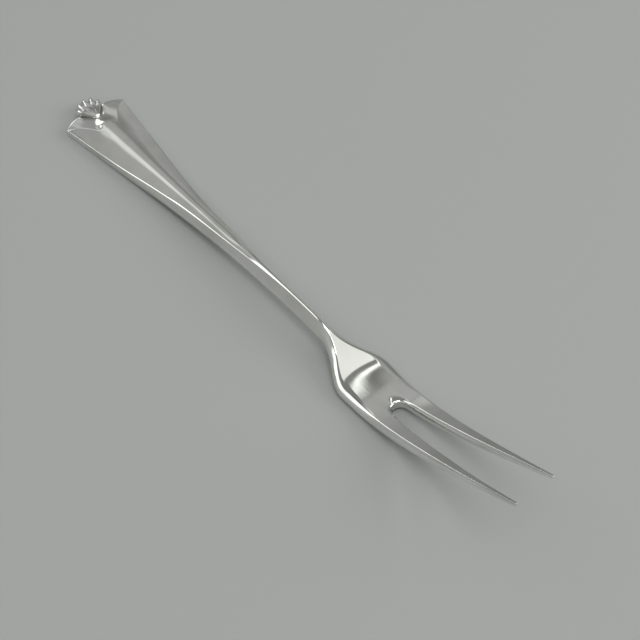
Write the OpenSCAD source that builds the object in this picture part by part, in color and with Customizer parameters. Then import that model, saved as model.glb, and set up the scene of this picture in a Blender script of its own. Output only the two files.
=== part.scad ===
// Lemon fork: a two-tined serving fork in solid silver, lying on its back with the tines turned up.
// Frame: X runs from the fan at the butt to the tine tips, Y to the left, Z up from the table.
// The origin is on the table, under the middle of the fork's length.
// The bar from the shoulders to the slot is one loft. Each region takes its own stretch of the same
// sections, so neighbouring regions meet face to face.

/* [Overall] */
// Length in plan, from the fan's tip to the tine tips
overall_l = 120; // [114:1:126]
// Height of the tine tips above the table
tip_h = 15.4; // [12:0.1:17]

/* [Handle] */
// Width across the two shoulders of the butt
butt_w = 12.4; // [11:0.1:14]
// Thickness of the shoulders at their side edges
butt_t = 1.4; // [1.2:0.1:2]
// Height of the centre ridge above the side edges
ridge_h = 0.9; // [0.5:0.1:1.4]
// Length of the sunk end panel, from the shoulder corners to where the ridge starts
panel_l = 4.7; // [4:0.1:6]
// How far the bowed end of a shoulder stands past its corner
shoulder_bow = 1.5; // [1:0.1:2]
// Power of the taper from shoulders to waist: higher is more hollow
taper_power = 1.85; // [1.5:0.05:2.2]

/* [Shank] */
// Width of the shank at its waist
shank_w = 2.9; // [2.6:0.1:3.6]
// Thickness of the shank at its waist
shank_t = 2.7; // [2.5:0.1:3.4]
// Height of the shank's underside above the table at the neck
arch_h = 2.7; // [1.5:0.1:3.5]

/* [Head] */
// Greatest width of the head, at its shoulders
head_w = 10.6; // [9.6:0.1:12]
// Thickness of the head at its side edges
head_t = 2; // [1.6:0.1:2.4]
// Depth of the shallow dish in the head
dish_d = 0.2; // [0.1:0.05:0.4]
// Width of the slot at its round end
slot_w = 3; // [2.6:0.1:3.4]

/* [Tines] */
// Distance between the middles of the two tips
tip_gap = 7.6; // [6.8:0.1:8.4]
// Width of a tine at its blunt tip
tip_w = 0.7; // [0.6:0.1:1]
// Thickness of a tine at its blunt tip
tip_t = 0.7; // [0.6:0.1:1]

/* [Fan finial] */
// Reach of the fan from its root to the tip of the middle flute
fan_r = 5.9; // [5.4:0.1:6.4]
// Number of rounded flutes
flutes = 5; // [3:2:7]
// Depth of the grooves between the flutes
groove_d = 0.5; // [0.2:0.05:0.7]
// Height of the fan's crest above a straight line from its root to its rim
fan_rise = 1; // [0.6:0.05:1.3]

/* [Hidden] */

polished_silver = "#c9cac6";
shaded_silver = "#b4b5b0";

// Distance of the fan's root from the line across the corners
fan_setback = 1.5;
// Length of the handle's end that lies flat on the table
rest_l = 4;
// Length over which the dish runs out along the tines
dish_fade = 12;

// Places along the fork
tip_x = overall_l / 2;
fan_x = fan_r - tip_x;
corner_x = fan_x - fan_setback;
end_x = corner_x - shoulder_bow;
ridge_x = corner_x + panel_l;
rest_x = corner_x + rest_l;
shank_x = -24;
waist_x = 2;
neck_x = 8;
flare_x = 11;
shoulder_x = 20.5;
bend_x = 24.5;
slot_x = 28.2;
slot_end_x = slot_x + slot_w / 2;
level_x = slot_x + dish_fade;

// Half widths in plan
butt_half = butt_w / 2;
shank_half = shank_w / 2;
head_half = head_w / 2;
tip_outer = (tip_gap + tip_w) / 2;
tip_inner = (tip_gap - tip_w) / 2;
// The fan's seat is a V in the end panel, and the shoulders stop just outside it
fan_half_angle = 40;
seat_half = (fan_x - end_x) * tan(fan_half_angle);
seat_lip = 0.5;
shoulder_half = seat_half + seat_lip;

// Radius of the side edges at the butt, the waist, the head, the tips and along the slot
butt_round = 0.22;
shank_round = 1.15;
head_round = 0.5;
tip_round = 0.28;
slot_round = 0.25;

// The fan: radius of its root, height of its root above the panel, height of its rim,
// reach at its sides and depth of its scallops
fan_root_r = 0.3;
fan_root_lift = 0.4;
fan_rim_z = 0.75 * butt_t;
fan_side = 0.74;
scallop = 0.1;
// Its crest lies past the middle, and its rim is undercut to a flat back
fan_crest_power = 2.8;
rim_under = 0.97;
rim_lift = 0.25;
rim_flat = 0.9;

// Small rise of the shank's top and belly, which rounds its section
shank_crown = 0.1;
// Softness of the ridge: 0 is a sharp ridge, and larger values turn it into a plain curve
ridge_softness = 0.5;
shank_softness = 2;
// Flare of the head: larger values hold the neck slim for longer
flare_power = 1.15;
// Fall of the end panel past the corners
end_slope = 0.4;
// Run of the step between the panel and the ridge, as a share of the panel's length and of the half width
step_run = 0.25;
// Bend of the tines: smaller values bend them nearer the head
tine_bend = 0.7;
// Taper of their thickness: larger values keep them thick for longer
tine_taper = 1.7;

// Steps across the top, across the underside, across a tine and round each edge
top_n = 16;
under_n = 10;
tine_n = 6;
round_n = 4;
// Steps round each flute, from the fan's root to its rim and round a full circle
flute_n = 8;
fan_n = 10;
circle_n = 48;
// Stations along the bowed end, the taper of the handle, the shank, the head and a tine
bow_stations = 5;
taper_stations = 16;
shank_stations = 20;
head_stations = 20;
tine_stations = 24;
// Distance by which a cut passes through
cut = 1;

function mix(a, b, t) = a + (b - a) * t;
function share(x, from, to) = max(0, min(1, (x - from) / (to - from)));
function ease(t) = t * t * (3 - 2 * t);
function ramp(x, from, to) = ease(share(x, from, to));
function steps(from, to, count) = [for (i = [0 : count]) mix(from, to, i / count)];

// Half width: bowed shoulder end, hollow taper to the waist, flare of the head, taper to the tips
function plan_half(x) =
    x < corner_x ? mix(shoulder_half, butt_half, sqrt(share(x, end_x, corner_x)))
    : x < waist_x ? mix(shank_half, butt_half, pow(1 - share(x, corner_x, waist_x), taper_power))
    : x < shoulder_x ? mix(shank_half, head_half, ease(pow(share(x, flare_x, shoulder_x), flare_power)))
    : mix(head_half, tip_outer, share(x, shoulder_x, tip_x));

// Half width of the gap between the tines, whose inner walls spread towards the tips
function slot_half(x) = mix(slot_w / 2, tip_inner, share(x, slot_end_x, tip_x));

// Lift of the upturned tines above the head
function tine_lift(x) =
    let (t = share(x, bend_x, tip_x))
    (tip_h - tip_t - dish_d) * t * t * (1 + tine_bend) / (t + tine_bend);

// Height of the underside at its side edges
function under_z(x) =
    x < neck_x ? arch_h * ramp(x, rest_x, neck_x)
    : mix(arch_h, dish_d, ramp(x, neck_x, shoulder_x)) + tine_lift(x);

// Thickness at the side edges
function edge_t(x) =
    x < neck_x ? mix(butt_t, shank_t, share(x, corner_x, waist_x))
    : x < shoulder_x ? mix(shank_t, head_t, ramp(x, neck_x, shoulder_x))
    : mix(head_t, tip_t, pow(share(x, slot_x, tip_x), tine_taper));

// Rise of the top from its side edges to its middle: a ridge on the handle, a dish in the head
function crown(x) =
    x < neck_x ? mix(ridge_h, shank_crown, ramp(x, ridge_x, waist_x))
    : x < shoulder_x ? mix(shank_crown, -dish_d, ramp(x, neck_x, shoulder_x))
    : -dish_d * (1 - ramp(x, slot_x, level_x));

// Bulge of the underside below its side edges
function belly(x) =
    x < neck_x ? shank_crown * ramp(x, rest_x, waist_x)
    : x < shoulder_x ? mix(shank_crown, dish_d, ramp(x, neck_x, shoulder_x))
    : dish_d * (1 - ramp(x, slot_x, level_x));

// Softness of the ridge along the fork
function softness(x) = mix(ridge_softness, shank_softness, ramp(x, ridge_x, waist_x));

// Radius of the rounded side edges
function edge_r(x) =
    x < neck_x ? mix(butt_round, shank_round, ramp(x, ridge_x, waist_x))
    : x < shoulder_x ? mix(shank_round, head_round, ramp(x, neck_x, shoulder_x))
    : mix(head_round, tip_round, share(x, slot_x, tip_x));

// Share of the crown at u, from 0 at a side edge (u = 1 or -1) to 1 in the middle
function ridge_share(u, soft) =
    1 - (sqrt(u * u + soft * soft) - soft) / (sqrt(1 + soft * soft) - soft);

// Share of the crown at x and u. The end panel is sunk to the height of the side edges. A sloping step
// rises from it to the ridge and ends in two straight hips that run in from the corners
function crown_share(x, u) =
    let (t = (x - corner_x) / panel_l)
    mix(ridge_share(u, softness(x)), min(0, end_slope * t), share(1 - t - abs(u), 0, step_run));

// Height of the top and of the underside at station x, across from u = -1 to 1
function top_z(x, u) =
    under_z(x) + edge_t(x) + crown(x) * crown_share(x, u);
function low_z(x, u) = under_z(x) - belly(x) * (1 - u * u);

// Quarter round about [y, z] from one angle to the next
function quarter(x, y, z, r, from) =
    [for (a = steps(from, from + 90, round_n)) [x, y + r * cos(a), z + r * sin(a)]];

// Closed section of the bar at station x
function bar_ring(x) =
    let (r = edge_r(x), flat = plan_half(x) - r, top = top_z(x, 1) - r, low = low_z(x, 1) + r)
    concat(
        quarter(x, flat, top, r, 0),
        [for (i = [1 : top_n - 1]) let (u = 1 - 2 * i / top_n) [x, flat * u, top_z(x, u)]],
        quarter(x, -flat, top, r, 90),
        quarter(x, -flat, low, r, 180),
        [for (i = [1 : under_n - 1]) let (u = 2 * i / under_n - 1) [x, flat * u, low_z(x, u)]],
        quarter(x, flat, low, r, 270)
    );

// Closed section of the left tine at station x
function tine_ring(x) =
    let (r = edge_r(x), flat = plan_half(x) - r, inner = slot_half(x) + slot_round, u_in = inner / flat)
    concat(
        quarter(x, flat, top_z(x, 1) - r, r, 0),
        [for (i = [1 : tine_n - 1]) let (u = mix(1, u_in, i / tine_n)) [x, flat * u, top_z(x, u)]],
        quarter(x, inner, top_z(x, u_in) - slot_round, slot_round, 90),
        quarter(x, inner, low_z(x, u_in) + slot_round, slot_round, 180),
        [for (i = [1 : tine_n - 1]) let (u = mix(u_in, 1, i / tine_n)) [x, flat * u, low_z(x, u)]],
        quarter(x, flat, low_z(x, 1) + r, r, 270)
    );

// Solid through rings that all have the same number of points, closed by a flat face at each end.
// Patches on the left and on the right are split along mirrored diagonals, which the step follows.
module loft(rings) {
    n = len(rings[0]);
    last = len(rings) - 1;
    points = [for (ring = rings) each ring];
    walls = [for (k = [0 : last - 1], j = [0 : n - 1])
        let (a = k * n + j, d = k * n + (j + 1) % n, b = a + n, c = d + n)
        each points[a].y + points[d].y > 0 ? [[a, b, c], [a, c, d]] : [[a, b, d], [b, c, d]]];
    near_cap = [for (j = [0 : n - 1]) j];
    far_cap = [for (j = [n - 1 : -1 : 0]) last * n + j];
    polyhedron(points, concat(walls, [near_cap, far_cap]));
}

// V-shaped seat of the fan, open towards the end of the handle, with a round nose at its point
module fan_seat() {
    reach = 2 * fan_r;
    spread = reach * tan(fan_half_angle);
    translate([fan_x, 0, -cut])
        linear_extrude(butt_t + ridge_h + 2 * cut)
            difference() {
                polygon([[0, 0], [-reach, spread], [-reach, -spread]]);
                circle(r = fan_root_r, $fn = circle_n);
            }
}

// Flared handle with a centre ridge, bowed shoulders and a sunk end panel
module handle() {
    bow = [for (t = steps(0, 1, bow_stations)) mix(end_x, corner_x, t * t)];
    panel = [for (i = [1 : top_n / 2]) mix(corner_x, ridge_x, 2 * i / top_n)];
    taper = [for (i = [1 : taper_stations]) mix(ridge_x, shank_x, i / taper_stations)];
    color(polished_silver)
        difference() {
            loft([for (x = concat(bow, panel, taper)) bar_ring(x)]);
            fan_seat();
        }
}

// Rounded shank between handle and head
module shank() {
    color(polished_silver) loft([for (x = steps(shank_x, flare_x, shank_stations)) bar_ring(x)]);
}

// Dished head with rounded shoulders and the round end of the slot
module head() {
    color(polished_silver)
        difference() {
            loft([for (x = steps(flare_x, slot_end_x, head_stations)) bar_ring(x)]);
            translate([slot_end_x, 0, -cut])
                cylinder(d = slot_w, h = arch_h + shank_t + 2 * cut, $fn = circle_n);
        }
}

// Tapering, splayed and upturned tine
module left_tine() {
    color(polished_silver) loft([for (x = steps(slot_end_x, tip_x, tine_stations)) tine_ring(x)]);
}

// Its mirror image on the other side of the slot
module right_tine() {
    mirror([0, 1, 0]) left_tine();
}

// Height of a flute across the fan: 0 in a groove, 1 on a crest
function flute_crest(angle) = abs(sin(180 * flutes * share(angle, -fan_half_angle, fan_half_angle)));

// Reach of the fan at an angle: longest in the middle, with a scalloped rim
function fan_reach(angle) =
    fan_r * mix(1, fan_side, pow(angle / fan_half_angle, 2)) * mix(1 - scallop, 1, flute_crest(angle));

// Face of the fan, from its root on the panel (t = 0) over a rounded crest to its rim (t = 1)
function fan_top_z(t, angle) =
    mix(top_z(fan_x, 0) + fan_root_lift, fan_rim_z, t) + fan_rise * sin(180 * pow(t, fan_crest_power))
    - groove_d * t * (1 - flute_crest(angle));

// Closed radial section of the fan at an angle
function fan_ring(angle) =
    let (reach = fan_reach(angle))
    let (out = function(t) fan_root_r + (reach - fan_root_r) * t)
    let (place = function(t, z) [fan_x - out(t) * cos(angle), out(t) * sin(angle), z])
    concat(
        [for (i = [0 : fan_n]) let (t = sin(90 * i / fan_n)) place(t, fan_top_z(t, angle))],
        [place(rim_under, rim_lift), place(rim_flat, 0), place(0, 0)]
    );

// Fluted fan that fills the seat and stands past the end of the handle
module fan_finial() {
    angles = steps(fan_half_angle, -fan_half_angle, flutes * flute_n);
    color(shaded_silver) loft([for (angle = angles) fan_ring(angle)]);
}

handle();
fan_finial();
shank();
head();
left_tine();
right_tine();
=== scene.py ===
import math

import bmesh
import bpy
from bpy.props import FloatProperty, FloatVectorProperty, IntProperty, PointerProperty
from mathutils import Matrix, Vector
from mathutils.bvhtree import BVHTree


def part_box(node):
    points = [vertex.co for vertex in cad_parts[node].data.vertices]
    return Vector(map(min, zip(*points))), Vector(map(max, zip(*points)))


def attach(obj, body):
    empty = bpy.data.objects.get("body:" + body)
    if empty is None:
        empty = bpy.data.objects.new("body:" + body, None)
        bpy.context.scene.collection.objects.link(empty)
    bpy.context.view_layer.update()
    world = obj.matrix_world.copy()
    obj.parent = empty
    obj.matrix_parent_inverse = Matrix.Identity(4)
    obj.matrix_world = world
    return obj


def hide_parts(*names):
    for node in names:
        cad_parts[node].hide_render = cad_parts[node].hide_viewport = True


bl_info = {
    "name": "Lemon Fork",
    "version": (1, 0, 0),
    "blender": (4, 5, 0),
    "location": "View3D > Sidebar > Lemon Fork",
    "description": "Models a polished silver lemon fork over its packed frame, and the stage it is seen on",
    "category": "Add Mesh",
}

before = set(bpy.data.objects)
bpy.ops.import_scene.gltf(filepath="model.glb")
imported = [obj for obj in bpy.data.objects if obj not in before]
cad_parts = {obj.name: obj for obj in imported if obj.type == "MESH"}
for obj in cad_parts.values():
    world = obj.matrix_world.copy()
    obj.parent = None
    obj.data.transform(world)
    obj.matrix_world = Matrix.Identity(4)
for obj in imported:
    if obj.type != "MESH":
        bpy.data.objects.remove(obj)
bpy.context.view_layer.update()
MM = 0.001

# Places along the fork that the frame gives, from the butt to the tips
END_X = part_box("handle")[0].x
SHANK_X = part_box("shank")[0].x
HEAD_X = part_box("head")[0].x
TINE_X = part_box("left_tine")[0].x
TIP_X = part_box("left_tine")[1].x
FAN_TIP_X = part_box("fan_finial")[0].x
BUTT_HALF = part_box("handle")[1].y
SLOT_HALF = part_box("left_tine")[0].y

# Stretches over which the crisp edges of the handle fade out, and those of the tines fade in
GRIP_FADE = SHANK_X - 6 * MM, SHANK_X
TINE_FADE = TINE_X - 6 * MM, TINE_X + 5 * MM
# Points this close together are one point
TOUCH = 0.001 * MM
# Cuts meet the mesh this exactly
CUT_TOLERANCE = 0.0001 * MM
# Faces that meet at more than this angle keep a sharp edge
SHARP_ANGLE = math.radians(40)

# Columns of the cage that matter by name, from the middle to the side, and its rows from the top down
SLOT_WALL, SLOT_RIM, SIDE_RIM, SIDE = 4, 5, 8, 9
TOP, UPPER, LOWER, BOTTOM = range(4)
# Names of the point layers: column, row, and the share of painted shade in the grooves of the fan
COLUMN, ROW, PAINTED_SHADE = "column", "row", "painted_shade"
# Silver of each slot, named for the metal and how its surface was made; the fan's also carries shade painted
# into its grooves
SILVERS = {
    "polished_silver": "sterling_silver_buffed",
    "shaded_silver": "sterling_silver_buffed_with_painted_shade",
}


def length(name, description, millimetres):
    """A size in the panel, given in millimetres and kept in metres."""
    return FloatProperty(name=name, description=description, default=millimetres * MM,
                         unit="LENGTH", precision=5)


def portion(name, description, default, low=0, high=1):
    """A share in the panel, from none to all unless its limits say otherwise."""
    return FloatProperty(name=name, description=description, default=default,
                         subtype="FACTOR", min=low, max=high)


def angle(name, description, degrees):
    """An angle in the panel, given in degrees and kept in radians."""
    return FloatProperty(name=name, description=description, default=math.radians(degrees), subtype="ANGLE")


def colour(name, description, code):
    """A colour in the panel, given as an sRGB hex value."""
    channels = [int(code[i:i + 2], 16) / 255 for i in (1, 3, 5)]
    return FloatVectorProperty(name=name, description=description, default=channels,
                               subtype="COLOR_GAMMA", size=3, min=0, max=1)


def linear(srgb):
    """The linear colour of an sRGB colour, with full alpha."""
    return [c / 12.92 if c <= 0.04045 else ((c + 0.055) / 1.055) ** 2.4 for c in srgb] + [1.0]


class ForkSizes(bpy.types.PropertyGroup):
    """Sizes of the fork's forms that the frame's boxes do not give"""
    bow: length("Shoulder bow", "How far the bowed end of a shoulder stands past its corner", 1.5)
    setback: length("Fan setback", "Distance of the fan's root from the line across the corners", 1.5)
    panel: length("Panel length", "Length of the sunk end panel, from the corners to the ridge", 4.7)
    nose_start: length("Nose start", "Distance of the middle of the ridge's nose from the ridge's start",
                       0.3)
    nose_run: length("Nose run", "Length over which the nose runs out into the slopes", 5)
    lip: length("Seat lip", "Width of the lip between the fan's seat and the bow", 0.5)
    hip_end: length("Hip end", "Distance from the corner at which the step of the panel runs out on the side",
                    0.35)
    hip_reach: length("Hip reach", "Where the curves of the two hips would meet, from their ends", 9.7)
    hip_inner: length("Hip inner end", "Distance from the middle at which the hips run out", 1.8)
    hip_blunt: length("Hip blunting", "Rounding of the corners between the hips and the start of the ridge",
                      0.6)
    corner_sink: length("Corner sink", "How far the slopes sink toward the corners of the butt", 0.1)
    hip_round: length("Hip rounding", "Distance over which the step turns into the slopes", 0.3)
    ridge_soft: portion("Ridge softness", "Rounding of the ridge at the butt, as a share of the half width",
                        0.26, 0.01, 3)
    shank_soft: portion("Shank softness", "Rounding of the top of the shank and the dish, in the same way",
                        2.0, 0.01, 3)
    slope_bulge: portion("Slope bulge", "How much steeper the slopes run out at the side edges",
                         0.1, 0, 0.9)
    gable: angle("Gable", "Slope of the narrow facets on either side of the shank's crest", 30)
    gable_round: length("Gable rounding", "Rounding of the shank's crest", 0.06)
    shank_flat: portion("Shank flat", "Share of the crown that is polished off along the shank", 0.9)
    dish_lag: length("Dish lag", "How much further along the dish of the head runs than in the frame", 0.7)
    dish_toe: length("Dish toe", "Height of the faint slope between the dish and the flat of the head",
                     0.045)
    dish_crown: length("Dish crown", "Height of the faint crown across the end of the dish of the head",
                       0.05)
    swing: length("Swing", "Length over which the edge loops straighten behind the panel", 14.0)
    butt_edge: length("Butt edge", "Radius of the side edges at the butt", 0.15)
    grip_edge: length("Grip edge", "Width of the side walls where the handle meets the shank", 0.9)
    waist_edge: length("Waist edge", "Width of the side walls at the waist, where the top face is narrowest",
                       1.35)
    head_edge: length("Head edge", "Radius of the side edges of the head", 1.3)
    shank_fall: portion("Shank fall", "How far the side walls of the shank lean in toward its crest", 1.0)
    head_fall: portion("Head fall", "How far the side walls of the head lean in, in the same way", 0.6)
    tine_fall: portion("Tine fall", "How far the walls of the tines lean in, in the same way", 0.7)
    tine_edge: length("Tine edge", "Width of the side walls where the tines begin", 0.75)
    grip_crease: portion("Grip crease", "Sharpness of the edges of the handle's top faces", 0.4)
    tine_crease: portion("Tine crease", "Sharpness of the edges of the tines' top faces", 0.92)
    tip_edge: length("Tip edge", "Radius of the edges at the tine tips", 0.3)
    slot_edge: length("Slot edge", "Radius of the rim of the slot", 0.5)
    fan_angle: angle("Fan angle", "Half of the angle that the fan spreads over", 40)
    flutes: IntProperty(name="Flutes", description="Number of rounded flutes of the fan", default=5, min=3)
    fan_root: length("Fan root", "Radius of the fan's root", 0.3)
    fan_lift: length("Fan lift", "Height of the fan's root over the panel", 0.4)
    fan_rise: length("Fan rise", "Height of the fan's crest over its root and rim", 1.0)
    fan_rim: length("Fan rim", "Height of the fan's rim", 1.05)
    groove: length("Groove", "Depth of the grooves between the flutes", 0.6)
    fan_side: portion("Fan side", "Reach of the fan at its sides, as a share of the middle", 0.74)
    scallop: portion("Scallop", "Depth of the scalloped rim, as a share of the reach", 0.12)
    # Painted shade: how far the grooves of the fan are darkened toward the rim
    fan_painted_shade: portion("Fan tarnish", "Share of tarnish in the grooves of the fan", 0.5)
    smoothing: IntProperty(name="Smoothing", description="Levels of subdivision of the blank",
                           default=3, min=1, max=4)
    fan_smoothing: IntProperty(name="Fan smoothing", description="Levels of subdivision of the fan",
                               default=2, min=1, max=4)


class SilverLook(bpy.types.PropertyGroup):
    """Finish of the silver"""
    bright: colour("Silver", "Freshly polished silver", "#eff0eb")
    worn: colour("Worn silver", "Silver dulled by handling", "#dfe1d9")
    # Colour of the shade painted into the grooves of the fan
    dark: colour("Painted_shade", "Tarnish that stays in the grooves of the fan", "#4d4a45")
    gloss: portion("Roughness", "Roughness of the polished face", 0.05)
    dull: portion("Worn roughness", "Roughness of worn places", 0.1)
    wear_size: length("Wear size", "Size of worn places", 7.0)
    scratch_length: length("Scratch length", "Length of the fine scratches", 3.0)
    scratch_width: length("Scratch width", "Width of the fine scratches", 0.2)
    scratch_depth: length("Scratch depth", "Depth of the fine scratches", 0.002)


class StageLook(bpy.types.PropertyGroup):
    """Floor, camera and light"""
    floor: colour("Floor", "Plain pale grey floor", "#a3a6a3")
    floor_roughness: portion("Floor roughness", "Roughness of the floor", 0.9)
    floor_size: length("Floor size", "Width of the floor", 4000)
    azimuth: angle("Azimuth", "Turn of the camera round the fork", 50.56)
    elevation: angle("Elevation", "Height of the camera over the horizon", 53.08)
    distance: length("Distance", "Distance of the camera from the point it looks at", 326.2)
    aim_x: length("Aim X", "Place along the fork that the camera looks at", 6.06)
    aim_y: length("Aim Y", "Place across the fork that the camera looks at", 2.58)
    lens: FloatProperty(name="Lens", description="Focal length of the camera", default=108.34, unit="CAMERA")


class FrameProbe:
    """Reads widths and heights off the frame's solids with rays, in metres."""
    # Rays start this far off
    FAR = 1.0
    # A ray that misses is moved by such steps, up to so many times
    NUDGE = 0.02 * MM
    NEARBY = ((NUDGE, 0), (-NUDGE, 0), (0, -NUDGE), (0, NUDGE), (NUDGE, -NUDGE), (-NUDGE, NUDGE))
    TRIES = 60
    # Widths are looked for at so many heights
    LEVELS = 40

    def __init__(self, *nodes):
        points, faces = [], []
        for node in nodes:
            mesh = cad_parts[node].data
            first = len(points)
            points += [v.co.copy() for v in mesh.vertices]
            faces += [[first + i for i in p.vertices] for p in mesh.polygons]
        self.tree = BVHTree.FromPolygons(points, faces)
        self.heights = [min(p.z for p in points), max(p.z for p in points)]

    def height(self, x, y, down):
        """Height of the top (down is true) or of the underside at a place, or at the metal nearest to it."""
        start, way = (self.FAR, -1) if down else (-self.FAR, 1)
        for step in range(self.TRIES):
            for along, across in self.NEARBY:
                place = Vector((x + step * along, y + step * across, start))
                hit = self.tree.ray_cast(place, Vector((0, 0, way)))[0]
                if hit:
                    return hit.z
        raise RuntimeError(f"the frame has no metal at x {x / MM:.2f} mm, y {y / MM:.2f} mm")

    def reach(self, x, from_side):
        """Greatest half width, seen from the side, or the slot's half width, seen from the middle."""
        start, way = (self.FAR, -1) if from_side else (0.0, 1)
        found = []
        for level in range(1, self.LEVELS):
            z = mix(*self.heights, level / self.LEVELS)
            hit = self.tree.ray_cast(Vector((x, start, z)), Vector((0, way, 0)))[0]
            if hit:
                found.append(hit.y)
        if not found:
            raise RuntimeError(f"the frame has no metal at x {x / MM:.2f} mm")
        return max(found) if from_side else min(found)


def mix(a, b, t):
    """The value at a share t of the way from a to b."""
    return a + (b - a) * t


def ramp(x, start, end):
    """0 before start, 1 after end, and an even curve between."""
    t = max(0.0, min(1.0, (x - start) / (end - start)))
    return t * t * (3 - 2 * t)


def stretch(x, start, end):
    """1 along a stretch that fades in over its start and out over its end, and 0 outside it."""
    return ramp(x, *start) - ramp(x, *end)


def steps(start, end, count):
    """Even places from start to end, both included."""
    return [mix(start, end, i / count) for i in range(count + 1)]


def only(*objects):
    """Select these objects alone in object mode, and make the last one active."""
    if bpy.context.mode != "OBJECT":
        bpy.ops.object.mode_set(mode="OBJECT")
    bpy.ops.object.select_all(action="DESELECT")
    for item in objects:
        item.select_set(True)
        bpy.context.view_layer.objects.active = item


def apply_modifier(piece, kind, **settings):
    """Add a modifier with its settings and apply it."""
    only(piece)
    modifier = piece.modifiers.new(kind.title(), kind)
    for name, value in settings.items():
        setattr(modifier, name, value)
    bpy.ops.object.modifier_apply(modifier=modifier.name)


def edit(piece):
    """Enter edit mode on one piece and return its mesh there, with nothing selected."""
    only(piece)
    bpy.ops.object.mode_set(mode="EDIT")
    bpy.ops.mesh.select_mode(type="VERT")
    bpy.ops.mesh.select_all(action="DESELECT")
    return bmesh.from_edit_mesh(piece.data)


def move_point(vert, target):
    """Move one point in edit mode to its place."""
    vert.select_set(True)
    bpy.ops.transform.translate(value=target - vert.co)
    vert.select_set(False)


class Bar:
    """Stations of the left half of the fork: the points of its cage by column and row."""
    # Support edges of a rounded edge, as shares of its radius, which round it once it is subdivided
    RIM, PULL = 0.9, 0.214
    # Shares of the half width at which the columns beside the slot run where there is no slot yet
    SLOT_SHARE, RIM_SHARE = 0.32, 0.08
    # Columns from the middle to the slot's, and from its rim's to the side's, as shares of those widths
    SLOT_COLUMNS, SIDE_COLUMNS = (0, 0.2, 0.42, 0.68, 1), (1 / 3, 2 / 3, 1)
    # No support edge takes more than this share of a width or thickness
    MOST, DEEPEST = 0.3, 0.42
    # A leaning side wall takes this share of the thickness, and its top edge falls by this share of that
    WALL, LEAN = 0.5, 0.85
    # Rings on the end panel: how far each lies from the end to the hips
    PANEL_RINGS = (0.06, 0.2, 0.36, 0.52, 0.66, 0.79, 0.9, 1)
    # Share of that way at which the frame's panel gives the height of its end
    PANEL_LEVEL = 0.3
    # Share of the half width from which the slopes sink toward the corners of the butt
    SINK_START = 0.6
    # Fall of the ridge's nose from its crest, by the distance from its middle line, in millimetres
    NOSE = ((0.0, 0.0), (0.8, 0.02), (1.4, 0.08), (2.3, 0.44), (3.2, 0.66), (9.0, 2.4))
    # Shares of the way from the shank to the slot: where the dish levels out, and where the side edges
    # have come to the head's radius
    LEVEL, SHOULDER = (0.3, 0.62), 0.55

    # Distance behind the start of the ridge at which the side walls begin to lean
    GRIP_DELAY = 4 * MM
    # Stretches over which the forms of the shank, the head and the tines fade in and out
    WAIST = SHANK_X + 4 * MM, HEAD_X - 9 * MM
    PLANE_START, PLANE_END = (SHANK_X, SHANK_X + 14 * MM), (HEAD_X - 6 * MM, HEAD_X)
    GABLE_START, GABLE_END = (SHANK_X + 8 * MM, SHANK_X + 18 * MM), (HEAD_X - 2 * MM, HEAD_X + 2 * MM)
    NECK = HEAD_X - 6 * MM, HEAD_X + 2 * MM
    DISH_START, DISH_END = (HEAD_X + 3 * MM, HEAD_X + 8 * MM), (TINE_X - 7 * MM, TINE_X - 3 * MM)
    TOE_END = HEAD_X + 9.2 * MM, HEAD_X + 11.9 * MM
    CROWN_START = HEAD_X + 7.5 * MM, HEAD_X + 10.5 * MM
    CROWN_END = HEAD_X + 11.5 * MM, HEAD_X + 15.5 * MM
    PARTING = TINE_X - 6 * MM, TINE_X + 2 * MM

    # Stations: behind the start of the ridge, along the shank and head, round the slot and along the tines
    SLOPE_PLACES = [place * MM for place in (1.6, 3.6, 6.4, 10, 14, 18.5, 22.5)]
    SHANK_SPAN, SHANK_STEPS = (SHANK_X, HEAD_X - 4 * MM), 7
    HEAD_START, HEAD_GAP, HEAD_STEPS = HEAD_X - 2.6 * MM, 3 * MM, 14
    # Gap before the slot in the middle and at the sides, and the half width over which it narrows
    SLOT_GAP, SLOT_GAP_HALF = (1.6 * MM, 0.7 * MM), 3 * MM
    # Turn of the rim round the slot's end, and how far behind the start of the tines its station lies
    RIM_TURN, RIM_SETBACK = math.radians(84), 0.2 * MM
    # Turn of the slot's wall, and how far past the start of the tines its station lies
    SLOT_TURN, SLOT_ADVANCE = math.radians(90), 0.3 * MM
    TINE_START = TINE_X + 1.4 * MM
    TINE_SPAN, TINE_STEPS = (TINE_X + 3.2 * MM, TIP_X - 1.5 * MM), 9
    # The end face stands this far inside the frame's tip
    TIP_GAP = 0.02 * MM

    def __init__(self, sizes):
        self.sizes = sizes
        self.solid = FrameProbe("handle", "shank", "head")
        self.tine = FrameProbe("left_tine")
        self.corner_x = END_X + sizes.bow
        self.fan_x = self.corner_x + sizes.setback
        self.ridge_x = self.corner_x + sizes.panel
        self.slot_x = TINE_X - SLOT_HALF
        self.level_span = [mix(HEAD_X, self.slot_x, share) for share in self.LEVEL]
        self.shoulder_x = mix(HEAD_X, self.slot_x, self.SHOULDER)
        self.nose_x = self.ridge_x - sizes.nose_start
        self.seat_half = (self.fan_x - END_X) * math.tan(sizes.fan_angle)
        self.shoulder_half = self.seat_half + sizes.lip

    def end_line(self, y):
        """The end of the handle in plan: the seat's flank, its lip and the bowed shoulder."""
        if y < self.seat_half:
            return self.fan_x - y / math.tan(self.sizes.fan_angle)
        share = max(0.0, min(1.0, (y - self.shoulder_half) / (BUTT_HALF - self.shoulder_half)))
        return mix(END_X, self.corner_x, share ** 2)

    def hip_line(self, y):
        """The line on which the step of the panel meets the slopes, from the ridge to the corner."""
        s = self.sizes
        curve = self.corner_x + s.hip_end + s.hip_reach * (1 - y / BUTT_HALF) ** 2
        return (curve + self.ridge_x - math.hypot(curve - self.ridge_x, s.hip_blunt)) / 2

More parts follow.
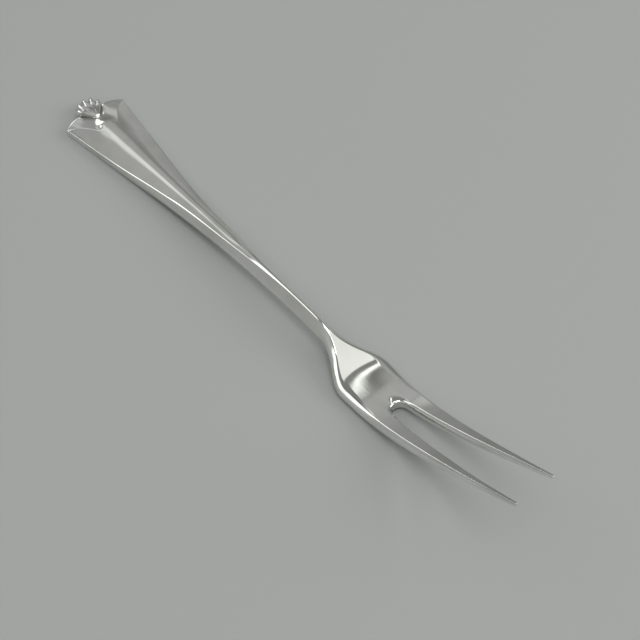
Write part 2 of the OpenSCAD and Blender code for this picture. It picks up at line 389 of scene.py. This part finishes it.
    def edge(self, x):
        """Radius of the side edges at a station."""
        s = self.sizes
        if x < HEAD_X:
            grip = mix(s.butt_edge, s.grip_edge, self.grip_share(x))
            return mix(grip, s.waist_edge, ramp(x, *self.WAIST))
        if x < self.shoulder_x:
            return mix(s.waist_edge, s.head_edge, ramp(x, HEAD_X, self.shoulder_x))
        if x < TINE_X:
            return mix(s.head_edge, s.tine_edge, ramp(x, self.shoulder_x, TINE_X))
        return mix(s.tine_edge, s.tip_edge, ramp(x, TINE_X, TIP_X))

    def grip_share(self, x):
        """Share of the way from the crisp edges of the butt to the leaning walls of the shank."""
        return ramp(x, self.ridge_x + self.GRIP_DELAY, SHANK_X)

    def wall_fall(self, x):
        """How far the top edge of the side wall falls away: most along the shank, less round the head."""
        s = self.sizes
        neck = ramp(x, *self.NECK)
        end = ramp(x, *self.PARTING)
        return s.shank_fall * (self.grip_share(x) - neck) + s.head_fall * (neck - end) + s.tine_fall * end

    def ridge_share(self, x, u):
        """Share of the rise from the side edge to the middle at u, from 0 in the middle to 1 at the edge."""
        s = self.sizes
        soft = mix(s.ridge_soft, s.shank_soft, ramp(x, self.ridge_x, HEAD_X))
        fall = (math.hypot(u, soft) - soft) / (math.hypot(1, soft) - soft)
        bulge = s.slope_bulge * (1 - ramp(x, SHANK_X, HEAD_X))
        return (1 - fall) * (1 + bulge * fall)

    def slope_top(self, x, y, half, edge):
        """Height of the ridged or dished top, from the frame's heights at its side edge and in its middle."""
        s = self.sizes
        flat = half - edge
        at = x - s.dish_lag * stretch(x, self.DISH_START, self.DISH_END)
        toe = s.dish_toe * stretch(x, self.DISH_START, self.TOE_END)
        side = self.solid.height(at, min(flat, self.solid.reach(at, True) - edge), True) + toe
        crest = self.solid.height(at, 0, True) + toe
        planed = s.shank_flat * stretch(x, self.PLANE_START, self.PLANE_END)
        middle = mix(mix(crest, side, planed), side, ramp(x, *self.level_span))
        out = min(1, y / flat)
        crown = s.dish_crown * stretch(x, self.CROWN_START, self.CROWN_END) * (1 - out ** 2)
        top = mix(side, middle, self.ridge_share(x, out)) + crown
        gable = crest - math.tan(s.gable) * (math.hypot(y, s.gable_round) - s.gable_round)
        return mix(top, gable, stretch(x, self.GABLE_START, self.GABLE_END))

    def points(self, spots, probe, edge, slot_edge=0.0, face=0, tops=None):
        """Points of a station from the plan spots of its columns. Face is -1 or 1 where it ends the metal."""
        fall = self.wall_fall(spots[SIDE].x)
        found = {}
        side = spots[SIDE].y
        for column, spot in spots.items():
            wall, sideways = edge, 0
            if column == SIDE:
                sideways = -1
            elif slot_edge and column == SLOT_WALL:
                wall, sideways = slot_edge, 1
            inside = min(spot.y, side - edge)
            if slot_edge:
                inside = max(inside, spots[SLOT_WALL].y + slot_edge)
            top = tops(spot) if tops else probe.height(spot.x, inside, True)
            low = probe.height(spot.x, inside, False)
            rim = min(self.RIM * wall, self.DEEPEST * (top - low))
            foot = min(rim, self.MOST * (top - low))
            pull = self.PULL / self.RIM * rim if face or sideways else 0.0
            aside = Vector((-face * pull, sideways * pull, 0))
            drop, upper = pull, rim
            if sideways:
                upper = mix(rim, self.WALL * (top - low), fall)
                drop = mix(pull, self.LEAN * upper, fall)
            found[column, TOP] = Vector((spot.x, spot.y, top - drop)) + aside
            found[column, UPPER] = Vector((spot.x, spot.y, top - upper))
            found[column, LOWER] = Vector((spot.x, spot.y, low + foot))
            found[column, BOTTOM] = Vector((spot.x, spot.y, low + pull)) + aside
        return found

    def solid_spots(self, line, half, edge):
        """Plan spots of the columns of a station that crosses the solid bar along a line."""
        span = half - self.RIM * edge
        butt_share = self.seat_half / (BUTT_HALF - self.RIM * self.sizes.butt_edge)
        slot = span * mix(butt_share, self.SLOT_SHARE, ramp(line(half), SHANK_X, HEAD_X))
        rim = slot + span * self.RIM_SHARE
        inner = [share * slot for share in self.SLOT_COLUMNS]
        outer = [mix(rim, span, share) for share in self.SIDE_COLUMNS]
        return {column: Vector((line(y), y)) for column, y in enumerate([*inner, rim, *outer, half])}

    def solid_station(self, line):
        """A station of the solid bar behind the end panel."""
        half = self.solid.reach(max(line(BUTT_HALF), self.corner_x), True)
        edge = self.edge(line(half))
        spots = self.solid_spots(line, half, edge)

        def top(at):
            return self.nose_top(at, self.hip_top(at.y, half, edge), half, edge)

        return self.points(spots, self.solid, edge, tops=top)

    def panel_station(self, share, face=0):
        """A station on the end panel, at a share of the way from the end to the hips."""
        def line(y):
            return mix(self.end_line(y), self.hip_line(y), share)

        def top(at):
            level_x = mix(self.end_line(at.y), self.hip_line(at.y), self.PANEL_LEVEL)
            end = self.solid.height(level_x, min(at.y, half - edge), True)
            return self.nose_top(at, mix(end, self.hip_top(at.y, half, edge), share), half, edge)

        half = BUTT_HALF
        edge = self.sizes.butt_edge
        return self.points(self.solid_spots(line, half, edge), self.solid, edge, face=face, tops=top)

    def hip_top(self, y, half, edge):
        """Height of the slopes at the hips, which end short of the middle and sink at the corners."""
        sink = self.sizes.corner_sink * ramp(y, self.SINK_START * BUTT_HALF, BUTT_HALF)
        return self.slope_top(self.ridge_x, max(y, self.sizes.hip_inner), half, edge) - sink

    def nose_top(self, at, floor, half, edge):
        """Height of the top near the start of the ridge, whose rounded nose rises out of the panel."""
        x = max(at.x, self.ridge_x)
        slope, crest = (self.slope_top(x, y, half, edge) for y in (at.y, 0))
        apart = math.hypot(min(0, at.x - self.nose_x), at.y) / MM
        for (near, high), (far, low) in zip(self.NOSE, self.NOSE[1:]):
            if apart <= far:
                nose = crest - mix(high, low, (apart - near) / (far - near)) * MM
                break
        blend = ramp(at.x, self.ridge_x, self.ridge_x + self.sizes.nose_run)
        return mix(min(slope, max(floor, nose)), slope, blend)

    def rim_station(self):
        """The station whose middle runs round the end of the slot, one rim outside it."""
        radius = SLOT_HALF + self.RIM * self.sizes.slot_edge
        line_x = TINE_X - self.RIM_SETBACK
        half = self.solid.reach(line_x, True)
        spots = self.solid_spots(lambda y: line_x, half, self.edge(line_x))
        for column in range(SLOT_RIM + 1):
            turn = self.RIM_TURN * column / SLOT_RIM
            spots[column] = Vector((TINE_X - radius * math.cos(turn), radius * math.sin(turn)))
        self.spread(spots)
        return self.points(spots, self.solid, self.edge(line_x))

    def spread(self, spots):
        """Even out the columns between the slot's rim and the side's."""
        for column in range(SLOT_RIM + 1, SIDE_RIM):
            share = (column - SLOT_RIM) / (SIDE_RIM - SLOT_RIM)
            spots[column] = spots[SLOT_RIM].lerp(spots[SIDE_RIM], share)

    def slot_station(self):
        """The station that ends the solid bar round the slot. Its outer columns go on as the tines."""
        found = self.tine_station(TINE_X + self.SLOT_ADVANCE)
        edge = self.sizes.slot_edge
        rim, pull = self.RIM * edge, self.PULL * edge
        for column in range(SLOT_WALL + 1):
            turn = self.SLOT_TURN * column / SLOT_WALL
            way = Vector((-math.cos(turn), math.sin(turn)))
            wall = Vector((TINE_X, 0)) + SLOT_HALF * way
            inside = wall + edge * way
            top = self.solid.height(inside.x, inside.y, True)
            low = self.solid.height(inside.x, inside.y, False)
            pulled = wall + pull * way
            found[column, TOP] = Vector((pulled.x, pulled.y, top - pull))
            found[column, UPPER] = Vector((wall.x, wall.y, top - rim))
            found[column, LOWER] = Vector((wall.x, wall.y, low + rim))
            found[column, BOTTOM] = Vector((pulled.x, pulled.y, low + pull))
        return found

    def tine_station(self, x, face=0):
        """A station of the left tine."""
        inner, outer = self.tine.reach(x, False), self.tine.reach(x, True)
        width = outer - inner
        edge = min(self.edge(x), self.MOST * width / self.RIM)
        slot_edge = min(self.sizes.slot_edge, self.MOST * width / self.RIM)
        spots = {SLOT_WALL: Vector((x, inner)), SLOT_RIM: Vector((x, inner + self.RIM * slot_edge)),
                 SIDE_RIM: Vector((x, outer - self.RIM * edge)), SIDE: Vector((x, outer))}
        self.spread(spots)
        return self.points(spots, self.tine, edge, slot_edge, face)

    def solid_stations(self):
        """Stations from the butt to the slot: the end panel, the slopes behind it, the shank and the head."""
        s = self.sizes
        yield self.panel_station(0, -1)
        for share in self.PANEL_RINGS:
            yield self.panel_station(share)
        for place in [s.hip_round, *self.SLOPE_PLACES]:
            bend = 1 - ramp(place, 0, s.swing)
            yield self.solid_station(lambda y: mix(self.ridge_x, self.hip_line(y), bend) + place)
        shank = steps(*self.SHANK_SPAN, self.SHANK_STEPS)
        head = steps(self.HEAD_START, self.slot_x - self.HEAD_GAP, self.HEAD_STEPS)
        for x in shank + head:
            yield self.solid_station(lambda y: x)
        yield self.solid_station(lambda y: self.slot_x - mix(*self.SLOT_GAP, ramp(y, 0, self.SLOT_GAP_HALF)))
        yield self.rim_station()
        yield self.slot_station()

    def tine_stations(self):
        """Stations of the left tine up to its tip."""
        rim = self.RIM * self.sizes.tip_edge
        for x in [self.TINE_START, *steps(*self.TINE_SPAN, self.TINE_STEPS), TIP_X - rim]:
            yield self.tine_station(x)
        yield self.tine_station(TIP_X - self.TIP_GAP, 1)


def place_ring(piece, points):
    """Move the selected points to the places given by column and row, and keep their faces selected."""
    mesh = bmesh.from_edit_mesh(piece.data)
    column, row = mesh.verts.layers.int[COLUMN], mesh.verts.layers.int[ROW]
    ring = [v for v in mesh.verts if v.select]
    faces = [f for f in mesh.faces if f.select]
    bpy.ops.mesh.select_all(action="DESELECT")
    for vert in ring:
        move_point(vert, points[vert[column], vert[row]])
    for face in faces:
        face.select_set(True)
    bmesh.update_edit_mesh(piece.data)


def model_cage(sizes):
    """The left half of the fork, extruded station by station from a grid at the butt to the tip."""
    bar = Bar(sizes)
    bpy.ops.object.select_all(action="DESELECT")
    bpy.ops.mesh.primitive_grid_add(x_subdivisions=SIDE, y_subdivisions=BOTTOM, size=1)
    cage = bpy.context.object
    cage.name = "blank"
    mesh = edit(cage)
    column, row = mesh.verts.layers.int.new(COLUMN), mesh.verts.layers.int.new(ROW)
    for vert in mesh.verts:
        vert[column] = round((vert.co.x + 0.5) * SIDE)
        vert[row] = round((0.5 - vert.co.y) * BOTTOM)
    bpy.ops.mesh.select_all(action="SELECT")
    for number, points in enumerate(bar.solid_stations()):
        if number:
            bpy.ops.mesh.extrude_region_move()
        place_ring(cage, points)
    mesh = bmesh.from_edit_mesh(cage.data)
    column = mesh.verts.layers.int[COLUMN]
    for face in [f for f in mesh.faces if f.select and min(v[column] for v in f.verts) < SLOT_WALL]:
        face.select_set(False)
    for points in bar.tine_stations():
        bpy.ops.mesh.extrude_region_move()
        place_ring(cage, points)
    return cage


def sharpen_edges(cage, sizes):
    """Crease the edges between the top faces and their walls, on the handle and on the tines."""
    mesh = edit(cage)
    column, row = (mesh.verts.layers.int[name] for name in (COLUMN, ROW))
    creases = {}
    for edge in mesh.edges:
        one, other = edge.verts
        if one[column] == other[column] and one[row] == other[row] == TOP:
            x = (one.co.x + other.co.x) / 2
            grip = sizes.grip_crease * (1 - ramp(x, *GRIP_FADE))
            tine = sizes.tine_crease * ramp(x, *TINE_FADE)
            if one[column] == SIDE_RIM:
                creases[edge.index] = grip + tine
            elif one[column] == SLOT_RIM and x > TINE_X:
                creases[edge.index] = tine
    bpy.ops.mesh.select_mode(type="EDGE")
    for number, crease in creases.items():
        mesh = bmesh.from_edit_mesh(cage.data)
        mesh.edges.ensure_lookup_table()
        mesh.edges[number].select_set(True)
        bpy.ops.transform.edge_crease(value=crease)
        bpy.ops.mesh.select_all(action="DESELECT")


def close_cage(cage, sizes):
    """Open the cage at the middle, mirror it to the right half and smooth the whole."""
    mesh = edit(cage)
    bpy.ops.mesh.select_mode(type="FACE")
    for face in mesh.faces:
        face.select_set(all(abs(v.co.y) < TOUCH for v in face.verts))
    bpy.ops.mesh.delete(type="FACE")
    bpy.ops.mesh.delete_loose()
    sharpen_edges(cage, sizes)
    apply_modifier(cage, "MIRROR", use_axis=(False, True, False), merge_threshold=TOUCH)
    edit(cage)
    bpy.ops.mesh.select_all(action="SELECT")
    bpy.ops.mesh.normals_make_consistent(inside=False)
    apply_modifier(cage, "SUBSURF", levels=sizes.smoothing, render_levels=sizes.smoothing)


def cut(piece, place, normal):
    """Cut a piece off on the side that the normal points to, and close it with a flat face."""
    edit(piece)
    bpy.ops.mesh.select_all(action="SELECT")
    bpy.ops.mesh.bisect(plane_co=place, plane_no=normal, use_fill=True, clear_outer=True,
                        threshold=CUT_TOLERANCE)
    bpy.ops.object.mode_set(mode="OBJECT")


def part_off(blank, node, *cuts):
    """Copy the blank and cut the copy down to the region that stands for a node."""
    only(blank)
    bpy.ops.object.duplicate()
    piece = bpy.context.object
    piece.name = f"{node}_silver"
    for place, normal in cuts:
        cut(piece, place, normal)
    finish_piece(piece, node, "polished_silver")


def finish_piece(piece, node, slot):
    """Shade a finished piece, give it its silver, hang it under the root body and hide the node that it
    stands for.
    """
    only(piece)
    bpy.ops.object.shade_smooth_by_angle(angle=SHARP_ANGLE)
    piece.data.materials.clear()
    piece.data.materials.append(silver_material(slot))
    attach(piece, "root")
    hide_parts(node)


class FORK_OT_bar(bpy.types.Operator):
    """Model the handle, shank, head and tines from one extruded cage"""
    bl_idname = "fork.bar"
    bl_label = "Fork Bar"

    def execute(self, context):
        sizes = context.scene.fork_sizes
        blank = model_cage(sizes)
        close_cage(blank, sizes)
        ahead, back = Vector((1, 0, 0)), Vector((-1, 0, 0))
        left, right = Vector((0, 1, 0)), Vector((0, -1, 0))
        shank_at, head_at, tine_at, middle = (Vector((x, 0, 0)) for x in (SHANK_X, HEAD_X, TINE_X, 0))
        part_off(blank, "handle", (shank_at, ahead))
        part_off(blank, "shank", (shank_at, back), (head_at, ahead))
        part_off(blank, "head", (head_at, back), (tine_at, ahead))
        part_off(blank, "left_tine", (tine_at, back), (middle, right))
        part_off(blank, "right_tine", (tine_at, back), (middle, left))
        bpy.data.objects.remove(blank)
        return {"FINISHED"}


class Fan:
    """The fluted fan: the height and reach of its face round its root."""
    # The grooves deepen toward the rim, and the flutes between them are fuller than a sine
    GROOVE_POWER, LOBE_POWER = 4, 0.7
    # Swell of the face over the line from its root to its rim, by the share of the way
    SWELL = {0.0: 0.0, 0.2: 0.3, 0.4: 0.62, 0.58: 0.88, 0.7: 0.98, 0.78: 1.0,
             0.86: 0.96, 0.92: 0.87, 0.96: 0.7, 0.985: 0.42, 1.0: 0.0}
    # Heights of the rounded lower rim and the flat back, by the share of the way
    BACK = {0.995: 0.5 * MM, 0.97: 0.14 * MM, 0.9: 0.0, 0.5: 0.0, 0.0: 0.0}
    # Turns of the profile for each flute
    FLUTE_STEPS = 8

    def __init__(self, sizes):
        self.sizes = sizes
        self.root_x = END_X + sizes.bow + sizes.setback
        self.reach = self.root_x - FAN_TIP_X
        self.root_z = FrameProbe("handle").height(self.root_x, 0, True) + sizes.fan_lift
        self.turns = steps(sizes.fan_angle, -sizes.fan_angle, sizes.flutes * self.FLUTE_STEPS)

    def crest(self, turn):
        """0 in a groove between two flutes, 1 on the crest of a flute."""
        share = (turn + self.sizes.fan_angle) / (2 * self.sizes.fan_angle)
        return abs(math.sin(math.pi * self.sizes.flutes * share)) ** self.LOBE_POWER

    def radius(self, turn):
        """Reach of the scalloped rim."""
        s = self.sizes
        return (self.reach * mix(1, s.fan_side, (turn / s.fan_angle) ** 2)
                * mix(1 - s.scallop, 1, self.crest(turn)))

    def height(self, share, turn):
        """Height of the face at a share of the way from the root to the rim."""
        s = self.sizes
        groove = s.groove * share ** self.GROOVE_POWER * (1 - self.crest(turn))
        return mix(self.root_z, s.fan_rim, share) + s.fan_rise * self.SWELL[share] - groove

    def painted_shade(self, point):
        """Share of painted shade at a point: it darkens the grooves, toward the rim."""
        out = Vector((self.root_x - point.x, point.y))
        turn = math.atan2(out.y, out.x)
        return self.sizes.fan_painted_shade * min(1, out.length / self.radius(turn)) ** 2 * (1 - self.crest(turn))

    def section(self, turn):
        """Points of the fan's outline on one turn by row, from the root over the face and rim to the back."""
        radius = self.radius(turn)
        face = [(share, self.height(share, turn)) for share in self.SWELL]
        points = {}
        for row, (share, z) in enumerate([*face, *self.BACK.items()]):
            out = mix(self.sizes.fan_root, radius, share)
            points[0, row] = Vector((self.root_x - out * math.cos(turn), out * math.sin(turn), z))
        return points


class FORK_OT_finial(bpy.types.Operator):
    """Model the fluted fan: a radial profile is extruded round its root, turn by turn"""
    bl_idname = "fork.finial"
    bl_label = "Fan Finial"

    def execute(self, context):
        sizes = context.scene.fork_sizes
        fan = Fan(sizes)
        bpy.ops.object.select_all(action="DESELECT")
        bpy.ops.mesh.primitive_circle_add(vertices=len(fan.section(0)), radius=sizes.fan_root)
        piece = bpy.context.object
        piece.name = "fan_finial_silver"
        mesh = edit(piece)
        column, row = mesh.verts.layers.int.new(COLUMN), mesh.verts.layers.int.new(ROW)
        for number, vert in enumerate(mesh.verts):
            vert[column], vert[row] = 0, number
        bpy.ops.mesh.select_all(action="SELECT")
        bpy.ops.mesh.edge_face_add()
        for number, turn in enumerate(fan.turns):
            if number:
                bpy.ops.mesh.extrude_region_move()
            place_ring(piece, fan.section(turn))
        bpy.ops.mesh.select_all(action="SELECT")
        bpy.ops.mesh.normals_make_consistent(inside=False)
        mesh = bmesh.from_edit_mesh(piece.data)
        # Painted shade for the grooves of the fan, kept on its points
        painted_shade = mesh.verts.layers.float.new(PAINTED_SHADE)
        for vert in mesh.verts:
            vert[painted_shade] = fan.painted_shade(vert.co)
        apply_modifier(piece, "SUBSURF", levels=sizes.fan_smoothing, render_levels=sizes.fan_smoothing)
        finish_piece(piece, "fan_finial", "shaded_silver")
        return {"FINISHED"}


# Sockets of a colour Mix node and of a two-vector Math node, which share their names and go by number
MIX_SHARE, MIX_FIRST, MIX_SECOND, MIX_RESULT = 0, 6, 7, 2
FIRST, SECOND = 0, 1


def add_node(tree, kind, settings=(), links=()):
    """Add a node to a tree, set its attributes and inputs, and link outputs to its inputs."""
    node = tree.nodes.new(kind)
    for name, value in dict(settings).items():
        if isinstance(name, int) or name in node.inputs.keys():
            node.inputs[name].default_value = value
        else:
            setattr(node, name, value)
    for name, output in dict(links).items():
        tree.links.new(output, node.inputs[name])
    return node


def new_material(name):
    """A fresh node material and its Principled shader."""
    material = bpy.data.materials.new(name)
    material.use_nodes = True
    return material, material.node_tree.nodes["Principled BSDF"]


# Noise values between which polished silver turns to worn silver, in tone and in roughness
WORN_TONE, WORN_GLOSS = (0.35, 0.7), (0.3, 0.75)
# Finer layers of noise in the worn places and in the scratches
WEAR_DETAIL, SCRATCH_DETAIL = 3, 2


def silver_material(slot):
    """Sterling silver, buffed to a mirror and handled. Fine scratches run along the fork and fray the edges
    of what it mirrors. Worn places are a little duller and greyer. Painted shade darkens the grooves of the
    fan."""
    name = SILVERS[slot]
    if name in bpy.data.materials:
        return bpy.data.materials[name]
    look = bpy.context.scene.fork_silver
    material, shader = new_material(name)
    tree = material.node_tree
    place = add_node(tree, "ShaderNodeTexCoord").outputs["Object"]
    wear = add_node(tree, "ShaderNodeTexNoise", {"Scale": 1 / look.wear_size, "Detail": WEAR_DETAIL},
                    {"Vector": place})
    tone = add_node(tree, "ShaderNodeValToRGB", links={"Fac": wear.outputs["Fac"]})
    for element, share, code in zip(tone.color_ramp.elements, WORN_TONE, (look.bright, look.worn)):
        element.position, element.color = share, linear(code)
    dull = add_node(tree, "ShaderNodeMapRange",
                    {"From Min": WORN_GLOSS[0], "From Max": WORN_GLOSS[1],
                     "To Min": look.gloss, "To Max": look.dull},
                    {"Value": wear.outputs["Fac"]})
    along = add_node(tree, "ShaderNodeMapping",
                     {"Scale": (1 / look.scratch_length, 1 / look.scratch_width, 1 / look.scratch_width)},
                     {"Vector": place})
    scratches = add_node(tree, "ShaderNodeTexNoise", {"Scale": 1, "Detail": SCRATCH_DETAIL},
                         {"Vector": along.outputs["Vector"]})
    relief = add_node(tree, "ShaderNodeBump", {"Distance": look.scratch_depth},
                      {"Height": scratches.outputs["Fac"]})
    # Painted shade: the fan's grooves are mixed toward the dark grey by the share kept on their points
    painted_shade = add_node(tree, "ShaderNodeAttribute", {"attribute_name": PAINTED_SHADE})
    base = add_node(tree, "ShaderNodeMix", {"data_type": "RGBA", MIX_SECOND: linear(look.dark)},
                    {MIX_SHARE: painted_shade.outputs["Fac"], MIX_FIRST: tone.outputs["Color"]})
    shader.inputs["Metallic"].default_value = 1.0
    tree.links.new(base.outputs[MIX_RESULT], shader.inputs["Base Color"])
    tree.links.new(dull.outputs["Result"], shader.inputs["Roughness"])
    tree.links.new(relief.outputs["Normal"], shader.inputs["Normal"])
    return material


def floor_material(look):
    """Matte grey board: plain and even, so that it only takes the fork's soft shadow."""
    material, shader = new_material("matte_grey_board")
    shader.inputs["Base Color"].default_value = linear(look.floor)
    shader.inputs["Roughness"].default_value = look.floor_roughness
    return material


class FORK_OT_stage(bpy.types.Operator):
    """Set the floor, the camera, the soft lights and the grey room"""
    bl_idname = "fork.stage"
    bl_label = "Fork Stage"

    # Nearest distance that the camera sees
    CLIP_START = 10 * MM
    # Lights by where they stand seen from the camera: ahead, right and up, then width, height and radiance
    LIGHTS = {
        "ceiling": ((0.10, 0.42, 0.90), 0.75, 0.7, 0.76),
        "strip": ((0.462, 0.183, 0.870), 0.48, 0.055, 1.3),
        "window": ((0.417, -0.693, 0.588), 0.83, 0.40, 1.0),
        "key": ((0.05, 0.90, 0.43), 0.9, 0.6, 3.6),
        "top": ((-0.20, 0.05, 0.98), 0.6, 0.6, 3.8),
        "fill": ((-0.75, 0.10, 0.65), 1.4, 0.9, 0.35),
    }
    # Distance of the lights from the middle of the fork
    LIGHT_DISTANCE = 1.2
    # Soft patches of light or shade on the walls, placed in the same way, then the angles at which each
    # is full and gone, and its radiance
    PATCHES = (
        ((0.605, -0.28, 0.745), 1, 6.5, 0.4),
        ((0.80, -0.47, 0.36), 4.5, 11.2, 1.8),
        ((0.78, -0.29, 0.56), 1.5, 6, 0.2),
        ((0.09, -0.69, 0.72), 9, 16, 1.0),
        ((0.25, -0.50, 0.83), 3, 8, -0.17),
        ((0.83, 0.05, 0.56), 2, 6, -0.1),
        ((0.88, 0.16, 0.44), 4, 11, 0.06),
        ((0.91, 0.39, 0.05), 5, 14, 0.06),
        ((0.547, 0.056, 0.835), 1.1, 2.6, -0.2),
        ((0.537, 0.012, 0.844), 0.9, 2.1, -0.16),
        ((-0.15, -0.95, 0.25), 15, 35, 0.16),
    )
    # Brightness of the walls by height, and the share of it by how far to the right they are
    RISE = ((0, 0.19), (0.15, 0.2), (0.28, 0.235), (0.42, 0.29), (0.5, 0.33), (0.6, 0.37), (0.7, 0.41),
            (0.78, 0.43), (0.83, 0.36), (0.87, 0.22), (1, 0.25))
    ASIDE = ((-1, 0.96), (-0.3, 0.95), (-0.1, 1), (0.04, 0.97), (0.17, 1.0), (0.3, 0.9), (1, 0.75))

    def execute(self, context):
        look = context.scene.fork_stage
        bpy.ops.object.select_all(action="DESELECT")
        bpy.ops.mesh.primitive_plane_add(size=look.floor_size)
        floor = context.object
        floor.name = "floor"
        floor.data.materials.append(floor_material(look))
        self.add_camera(context, look)
        self.add_lights(context, look)
        self.add_room(context, look)
        return {"FINISHED"}

    def add_camera(self, context, look):
        """The camera, turned and raised round the point that it looks at."""
        a, e = look.azimuth, look.elevation
        back = Vector((math.sin(a) * math.cos(e), -math.cos(a) * math.cos(e), math.sin(e)))
        place = Vector((look.aim_x, look.aim_y, 0)) + look.distance * back
        bpy.ops.object.camera_add(location=place, rotation=back.to_track_quat("Z", "Y").to_euler())
        camera = context.object
        camera.data.lens = look.lens
        camera.data.clip_start = self.CLIP_START
        context.scene.camera = camera
        context.scene.view_settings.view_transform = "Standard"

    def direction(self, look, way):
        """A direction in the part's frame from one given as ahead of, right of and over the camera."""
        ahead = Vector((-math.sin(look.azimuth), math.cos(look.azimuth), 0))
        right = Vector((math.cos(look.azimuth), math.sin(look.azimuth), 0))
        return (way[0] * ahead + way[1] * right + way[2] * Vector((0, 0, 1))).normalized()

    def add_lights(self, context, look):
        """Soft lights that face the fork, and that its silver mirrors."""
        for name, (way, width, height, radiance) in self.LIGHTS.items():
            place = self.LIGHT_DISTANCE * self.direction(look, way)
            turn = place.to_track_quat("Z", "Y").to_euler()
            bpy.ops.object.light_add(type="AREA", location=place, rotation=turn)
            light = context.object
            light.name = name
            light.data.shape = "RECTANGLE"
            light.data.size, light.data.size_y = width, height
            light.data.energy = radiance * math.pi * width * height

    def add_room(self, context, look):
        """A grey room: dark at the horizon and overhead, paler between, with soft patches on its walls."""
        world = bpy.data.worlds.new("grey_room")
        context.scene.world = world
        world.use_nodes = True
        tree = world.node_tree
        way = add_node(tree, "ShaderNodeTexCoord").outputs["Generated"]
        upward = add_node(tree, "ShaderNodeSeparateXYZ", links={"Vector": way}).outputs["Z"]
        rise = add_node(tree, "ShaderNodeValToRGB", links={"Fac": upward})
        grey_stops(rise, self.RISE)
        sideways = self.add_facing(tree, way, self.direction(look, (0, 1, 0)))
        share = add_node(tree, "ShaderNodeMapRange", {"From Min": -1}, {"Value": sideways})
        aside = add_node(tree, "ShaderNodeValToRGB", links={"Fac": share.outputs["Result"]})
        grey_stops(aside, [((place + 1) / 2, grey) for place, grey in self.ASIDE])
        both = add_node(tree, "ShaderNodeVectorMath", {"operation": "MULTIPLY"},
                        {FIRST: rise.outputs["Color"], SECOND: aside.outputs["Color"]})
        light = both.outputs["Vector"]
        for middle, full, gone, radiance in self.PATCHES:
            patch = add_node(tree, "ShaderNodeMapRange",
                             {"interpolation_type": "SMOOTHSTEP", "From Min": math.cos(math.radians(gone)),
                              "From Max": math.cos(math.radians(full)), "To Max": radiance},
                             {"Value": self.add_facing(tree, way, self.direction(look, middle))})
            light = add_node(tree, "ShaderNodeVectorMath", {"operation": "ADD"},
                             {FIRST: light, SECOND: patch.outputs["Result"]}).outputs["Vector"]
        tree.links.new(light, tree.nodes["Background"].inputs["Color"])

    def add_facing(self, tree, way, direction):
        """How far the ways of a tree face a direction: 1 along it, 0 across it and -1 away from it."""
        return add_node(tree, "ShaderNodeVectorMath", {"operation": "DOT_PRODUCT", SECOND: direction},
                        {FIRST: way}).outputs["Value"]


def grey_stops(ramp_node, stops):
    """Set the stops of a colour ramp to greys, each a place and a brightness."""
    elements = ramp_node.color_ramp.elements
    while len(elements) < len(stops):
        elements.new(1.0)
    for element, (place, grey) in zip(elements, stops):
        element.position = place
        element.color = (grey, grey, grey, 1)


class FORK_PT_panel(bpy.types.Panel):
    """Lists the steps that model the fork, and the values that they use"""
    bl_idname = "FORK_PT_panel"
    bl_label = "Lemon Fork"
    bl_space_type = "VIEW_3D"
    bl_region_type = "UI"
    bl_category = "Lemon Fork"

    def draw(self, context):
        for operator in OPERATORS:
            self.layout.operator(operator.bl_idname)
        for group in SETTINGS:
            settings = getattr(context.scene, group)
            box = self.layout.box()
            for name in settings.bl_rna.properties.keys():
                if name not in ("rna_type", "name"):
                    box.prop(settings, name)


SETTINGS = {"fork_sizes": ForkSizes, "fork_silver": SilverLook, "fork_stage": StageLook}
OPERATORS = (FORK_OT_bar, FORK_OT_finial, FORK_OT_stage)


def register():
    for item in (*SETTINGS.values(), *OPERATORS, FORK_PT_panel):
        bpy.utils.register_class(item)
    for name, group in SETTINGS.items():
        setattr(bpy.types.Scene, name, PointerProperty(type=group))


def unregister():
    for name in SETTINGS:
        delattr(bpy.types.Scene, name)
    for item in (FORK_PT_panel, *reversed(OPERATORS), *reversed(SETTINGS.values())):
        bpy.utils.unregister_class(item)


def main():
    register()
    bpy.ops.fork.bar()
    bpy.ops.fork.finial()
    bpy.ops.fork.stage()


if __name__ == "__main__":
    main()
